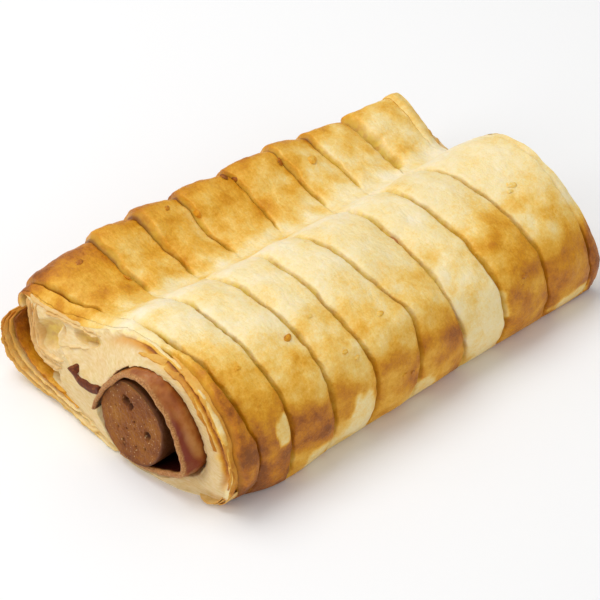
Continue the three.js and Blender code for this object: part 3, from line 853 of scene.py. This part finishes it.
DOME_HEIGHT = 0.26
DOME_DIMPLE = 0.24
DOME_SINK = 0.08
domes = []
for k, (x, y0, z0, radius, darker) in enumerate(BLISTERS):
    _, place, facing, _ = crust.closest_point_on_mesh(Vector((x, y0, z0)) * MM)
    bpy.ops.mesh.primitive_ico_sphere_add(subdivisions=4, radius=1)
    dome = bpy.context.object
    ball = np.empty(len(dome.data.vertices) * 3)
    dome.data.vertices.foreach_get("co", ball)
    ball = ball.reshape(-1, 3)
    out = np.hypot(ball[:, 0], ball[:, 1])
    wobble = 1 + 0.30 * grain(ball, 0.9, k + 5)
    shaped = ball * np.column_stack([wobble * 1.2, wobble * 0.8, np.full(len(ball), DOME_HEIGHT)])
    shaped[:, 2] -= DOME_DIMPLE * np.exp(-(out / 0.5) ** 2) * (ball[:, 2] > 0)
    turned = facing.to_track_quat("Z", "Y").to_matrix()
    placed = shaped @ np.array(turned).T * radius * MM + np.array(place) - DOME_SINK * MM * np.array(facing)
    dome.data.vertices.foreach_set("co", placed.ravel())
    dome.data.update()
    bpy.ops.object.shade_smooth()
    here = skin_bake(np.array(place) / MM)
    rim = 0.06 * np.exp(-((out - 0.8) / 0.2) ** 2)
    paint(dome, "bake", here + darker + rim + 0.12 * grain(ball, 0.6, k))
    for name in ("inner", "slit", "crease_shade"):
        paint(dome, name, np.zeros(len(ball)))
    domes.append(dome)
blisters = join_pieces(domes, "blisters")
bpy.ops.object.transform_apply(location=True, rotation=True, scale=True)
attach(blisters, "root")
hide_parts("pastry")
bpy.ops.object.select_all(action="DESELECT")

# ---- The sausage ----
# A skinless cooked sausage of fine meat, cut square at both ends. It lies along the front hump.
SAUSAGE_RADIUS = 12.55
SAUSAGE_NEAR = -73.0
SAUSAGE_FAR = 74.6
SAUSAGE_TILT = 0.12
SAUSAGE_DROP = 0.4
sausage_low, sausage_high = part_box("sausage")
sausage_y = (sausage_low[1] + sausage_high[1]) / 2 / MM
sausage_z = (sausage_low[2] + sausage_high[2]) / 2 / MM - SAUSAGE_DROP
# The pores of the near face: place across and up from the middle, radius and depth.
PORES = [(2.7, 5.9, 1.5, 2.4), (0.8, 5.0, 1.2, 2.0), (-6.6, -0.4, 1.3, 1.6), (-1.2, 1.0, 0.35, 0.9),
         (-1.5, -1.2, 0.3, 0.8), (1.6, -2.6, 0.4, 1.0), (-5.0, 2.6, 0.35, 0.8), (2.6, -7.0, 0.5, 1.1),
         (2.2, -8.4, 0.45, 1.0), (-2.6, -6.4, 0.35, 0.8), (-6.0, -5.2, 0.4, 0.9), (6.4, 2.2, 0.3, 0.7),
         (5.0, -4.0, 0.3, 0.7)]

disc_turns = 128
disc_rings = 52
sausage_rings = []
for end, direction in ((SAUSAGE_NEAR, -1), (SAUSAGE_FAR, 1)):
    radii = np.linspace(0.02, 1, disc_rings) ** 0.85 * (SAUSAGE_RADIUS - 0.35)
    face = [(r, end) for r in radii]
    face += [(SAUSAGE_RADIUS - 0.12, end - direction * 0.12), (SAUSAGE_RADIUS, end - direction * 0.6)]
    sausage_rings.append(face)
length = [(SAUSAGE_RADIUS, x) for x in np.linspace(SAUSAGE_NEAR + 2, SAUSAGE_FAR - 2, 24)]
profile = sausage_rings[0] + length + sausage_rings[1][::-1]
turn = np.arange(disc_turns) / disc_turns * 2 * math.pi
out_of_round = 1 + 0.012 * np.sin(2 * turn + 0.6) + 0.008 * np.sin(5 * turn)
radius = np.array([r for r, _ in profile])[:, None] * out_of_round
places = np.dstack([np.array([x for _, x in profile])[:, None] * np.ones(disc_turns),
                    radius * np.cos(turn), radius * np.sin(turn)])
disc_x, disc_y, disc_z = np.moveaxis(places, -1, 0)  # views, so changing them changes places
on_near = (np.arange(len(profile)) < disc_rings + 1)[:, None] * np.ones(disc_turns)
disc_x += on_near * SAUSAGE_TILT * disc_z
# The pores are painted near-black as shade in their hollows.
pore_shade_mask = np.zeros(places.shape[:2])
for dy, dz, size, depth in PORES:
    wobble = 1 + 0.35 * grain(places, 1.1, dy)
    reach = np.hypot(disc_y - dy, disc_z - dz) / (size * wobble)
    bowl = np.clip(1 - reach ** 2.2, 0, 1) ** 0.6 * on_near
    disc_x += depth * bowl
    pore_shade_mask = np.maximum(pore_shade_mask, bowl)
face_grain = 0.22 * grain(places, 1.6, 51) + 0.16 * grain(places, 0.7, 52)
disc_x += on_near * face_grain
radial = 1 + (0.15 * grain(places, 6.0, 53) + 0.1 * grain(places, 1.5, 54)) / SAUSAGE_RADIUS
disc_y[:] = sausage_y + disc_y * radial
disc_z[:] = sausage_z + disc_z * radial

sausage = grid_piece("sausage_meat", places, caps=(0, -1))
paint(sausage, "pore_shade", np.append(pore_shade_mask.ravel(), [0, 0]))
on_face = on_near + on_near[::-1]
skin_edge = soft(radius, SAUSAGE_RADIUS - 0.9, SAUSAGE_RADIUS - 0.1) * on_face + (1 - on_face)
paint(sausage, "skin", np.append(skin_edge.ravel(), [0, 0]))


def meat_material():
    """Fine-ground cooked meat: tan with darker grains, pores painted near-black as shade, and a darker
    smooth skin.
    """
    n = Nodes("sausage_meat")
    clouds = n.noise(7.0, 3.0, 0.5)
    grains = n.noise(0.6, 4.0, 0.7)
    base = n.ramp(n.plus(n.times(clouds, 0.6), n.times(grains, 0.5)),
                  [(0.3, "562604"), (0.5, "84460A"), (0.66, "9E6014"), (0.85, "C08A38")])
    crumbs = n.ramp(n.noise(0.7, 1.0, 0.4), [(0.70, "000000"), (0.74, "FFFFFF")])
    base = n.mix(n.times(crumbs, 0.6), base, linear("E4C08A"))
    # The pores' hollows are painted near-black as shade.
    colour = n.mix(n.painted("pore_shade"), base, linear("2A120A"))
    colour = n.mix(n.times(n.painted("skin"), 0.8), colour, linear("5A2E12"))
    roughness = n.plus(n.times(grains, 0.3), 0.4)
    pits = n.bump(n.noise(0.5, 3.0, 0.7), 0.6, 0.35)
    lumps = n.bump(n.noise(1.6, 3.0), 0.35, 0.5, pits)
    return n.finish(Base_Color=colour, Roughness=roughness, Specular_IOR_Level=0.3, Normal=lumps,
                    Subsurface_Weight=0.12, Subsurface_Radius=(1.0, 0.4, 0.2), Subsurface_Scale=1.5 * MM)


sausage.data.materials.append(meat_material())
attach(sausage, "root")
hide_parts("sausage")
bpy.ops.object.select_all(action="DESELECT")

# ---- The slice of ham ----
# One thin slice of cured meat, rolled round the sausage. Its rim stands out of the dough and flares a
# little; its tail lies between two layers of dough and shows at the back.
HAM_RIM_X = -73.6
# The middle of the slice's thickness at the rim, from its lip at the back over the sausage to under it.
HAM_RIM = [(3.9, 12.6), (2.9, 15.6), (0.6, 20.4), (-2.4, 24.8), (-7.4, 30.4), (-12.6, 33.2), (-18, 33.0),
           (-22.2, 30.2), (-25.6, 26.4), (-28.6, 21.8), (-31.0, 17.2), (-31.9, 13.6), (-31.2, 10.6),
           (-28.0, 8.2), (-23.5, 6.2), (-18.6, 4.2), (-12.5, 2.6), (-6.0, 2.0)]
HAM_THICK = 1.75
HAM_DEPTH = 149.7
HAM_COLUMNS = 170

ham_line = smooth_line(HAM_RIM, HAM_COLUMNS)
ham_along = np.linspace(0, 1, HAM_COLUMNS)
ham_steps = np.concatenate([[0, 0.18, 0.45, 0.8, 1.2], np.linspace(1.7, 9, 16),
                            np.linspace(11, HAM_DEPTH, 14)])
ham_middle, ham_normal, ham_thick = [], [], []
for depth in ham_steps:
    # Further in, the slice lies closer round the sausage.
    close = 0.10 * soft(depth, 5, 14) + 0.07 * soft(depth, 30, 130)
    to_axis = np.array([[sausage_y, sausage_z]]) - ham_line
    line = ham_line + to_axis * [close, close * 0.8] * (1 - 0.9 * (to_axis[:, 1:] > 0) * [0, 1])
    swell = 0.35 * soft(depth, 0.5, 6) * soft(ham_along, 0.15, 0.4)
    normal = line_normals(line)
    line = np.column_stack([np.full(HAM_COLUMNS, HAM_RIM_X + depth), line])
    ham_middle.append(line + normal * swell[:, None])
    ham_normal.append(normal)
    ham_thick.append(np.full(HAM_COLUMNS, HAM_THICK * min(1.0, 0.35 + depth / 0.7)))
ham_middle, ham_normal, ham_thick = np.array(ham_middle), np.array(ham_normal), np.array(ham_thick)
rim_line = ham_middle[0] * [0, 1, 1]
rim_wave = 0.6 * grain(rim_line, 6.0, 61) + 0.35 * grain(rim_line, 1.8, 62)
lip_forward = -0.8 * (1 - soft(ham_along, 0.0, 0.3))
fade = np.exp(-ham_steps / 6)[:, None]
ham_middle[..., 0] += (rim_wave + lip_forward)[None, :] * fade
ham_middle += ham_normal * (0.22 * grain(ham_middle * [0.35, 1, 1], 4.5, 63))[..., None]
ham_thick *= 1 + 0.22 * grain(ham_middle, 2.2, 65)
# Towards the lip the slice thins.
ham_thick *= (0.62 + 0.38 * soft(ham_along, 0.03, 0.22))[None, :]
ham = sheet_mesh("ham_roll", ham_middle, ham_normal, ham_thick)
rim_paint = np.repeat((1 - soft(ham_steps, 0.3, 1.3))[:, None], HAM_COLUMNS, axis=1)
# The slice's inner face, towards the sausage, is painted near-black as shade.
inside = np.repeat(soft(ham_steps, 0.2, 1.0)[:, None], HAM_COLUMNS, axis=1)
wet = np.zeros(rim_paint.shape)
# The wet patches: how deep, where round the slice, and how far they reach each way.
for depth, share, reach, width in [(1.4, 0.53, 1.8, 0.07), (1.8, 0.62, 2.2, 0.06), (3.4, 0.66, 2.6, 0.04),
                                   (0.6, 0.02, 3, 0.04)]:
    off_centre = ((ham_steps[:, None] - depth) / reach) ** 2 + ((ham_along[None, :] - share) / width) ** 2
    wet += np.exp(-off_centre)
paint(ham, "rim", np.concatenate([rim_paint.ravel(), rim_paint.ravel() * 0.8]))
paint(ham, "inside", np.concatenate([inside.ravel() * 0, inside.ravel()]))
paint(ham, "wet", np.concatenate([wet.ravel(), wet.ravel()]))

# The loose tail, from where it leaves the roll to its tip.
TAIL = [(2.4, 18.9), (4.9, 18.0), (7.6, 17.1), (10.6, 17.3), (13.0, 18.3), (15.2, 19.6)]
TAIL_RIM_X = -73.5
TAIL_DEPTH = 149.4
TAIL_THICK = 2.8
TAIL_COLUMNS = 60
tail_line = smooth_line(TAIL, TAIL_COLUMNS)
tail_along = np.linspace(0, 1, TAIL_COLUMNS)
tail_steps = np.concatenate([[0, 0.2, 0.5, 0.9], np.linspace(1.5, 14, 12), np.linspace(24, TAIL_DEPTH, 12)])
ends = np.sqrt(np.clip(1 - ((tail_along - 0.45) / 0.56) ** 8, 0.02, 1)) * (1.05 - 0.3 * tail_along)
tail_middle, tail_thick = [], []
for depth in tail_steps:
    line = tail_line + (FACE_MIDDLE - tail_line) * 0.14 * depth / 150
    tail_middle.append(np.column_stack([TAIL_RIM_X + depth + 0.3 * tail_along, line]))
    tail_thick.append(TAIL_THICK * ends * (0.55 if depth == 0 else 0.85 if depth < 0.4 else 1.0))
tail_middle, tail_thick = np.array(tail_middle), np.array(tail_thick)
tail_normal = np.tile(-line_normals(tail_line), (len(tail_steps), 1, 1))
tail_middle[..., 0] += 0.3 * grain(tail_middle[0] * [0, 1, 1], 2.5, 66)[None, :]
tail_middle[..., 2] += 0.35 * grain(tail_middle * [0.2, 1, 1], 3.0, 67)
tail = sheet_mesh("ham_tail", tail_middle, tail_normal, tail_thick)


def ham_material():
    """Cured meat: tan and grainy at its rim, smooth and pink-brown outside with dark red wet patches, and
    painted near-black shade on its inner face towards the sausage.
    """
    n = Nodes("cured_ham")
    patches = n.noise(6.0, 3.0, 0.5)
    grains = n.noise(0.55, 4.0, 0.7)
    moist = n.ramp(n.plus(n.times(patches, 0.9), n.times(grains, 0.1)),
                   [(0.34, "8C420E"), (0.5, "AC6426"), (0.66, "C08648")])
    wet = n.times(n.painted("wet"), 0.9, clamp=True)
    moist = n.mix(wet, moist, linear("741002"))
    rim = n.ramp(grains, [(0.3, "7E4414"), (0.5, "AE7434"), (0.7, "D2A468")])
    # The inner face is painted near-black as shade.
    colour = n.mix(n.painted("inside"), moist, linear("3A0F0A"))
    colour = n.mix(n.painted("rim"), colour, rim)
    roughness = n.plus(n.times(n.painted("rim"), 0.3), 0.3)
    lumps = n.bump(n.noise(2.5, 2.0), 0.12, 0.5, n.bump(grains, 0.35, 0.25))
    return n.finish(Base_Color=colour, Roughness=roughness, Normal=lumps,
                    Subsurface_Weight=0.2, Subsurface_Radius=(1.0, 0.3, 0.2), Subsurface_Scale=1.5 * MM)


def tail_material():
    """The ham's tail, baked dark and dry."""
    n = Nodes("baked_ham_tail")
    streaks = n.noise(1.2, 4.0, 0.65)
    colour = n.ramp(streaks, [(0.3, "441604"), (0.55, "6E3008"), (0.75, "96581E")])
    roughness = n.plus(n.times(streaks, 0.3), 0.4)
    return n.finish(Base_Color=colour, Roughness=roughness, Specular_IOR_Level=0.25,
                    Normal=n.bump(streaks, 0.5, 0.4))


ham.data.materials.append(ham_material())
tail.data.materials.append(tail_material())
for piece in (ham, tail):
    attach(piece, "root")
    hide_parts("ham_slice")
bpy.ops.object.select_all(action="DESELECT")
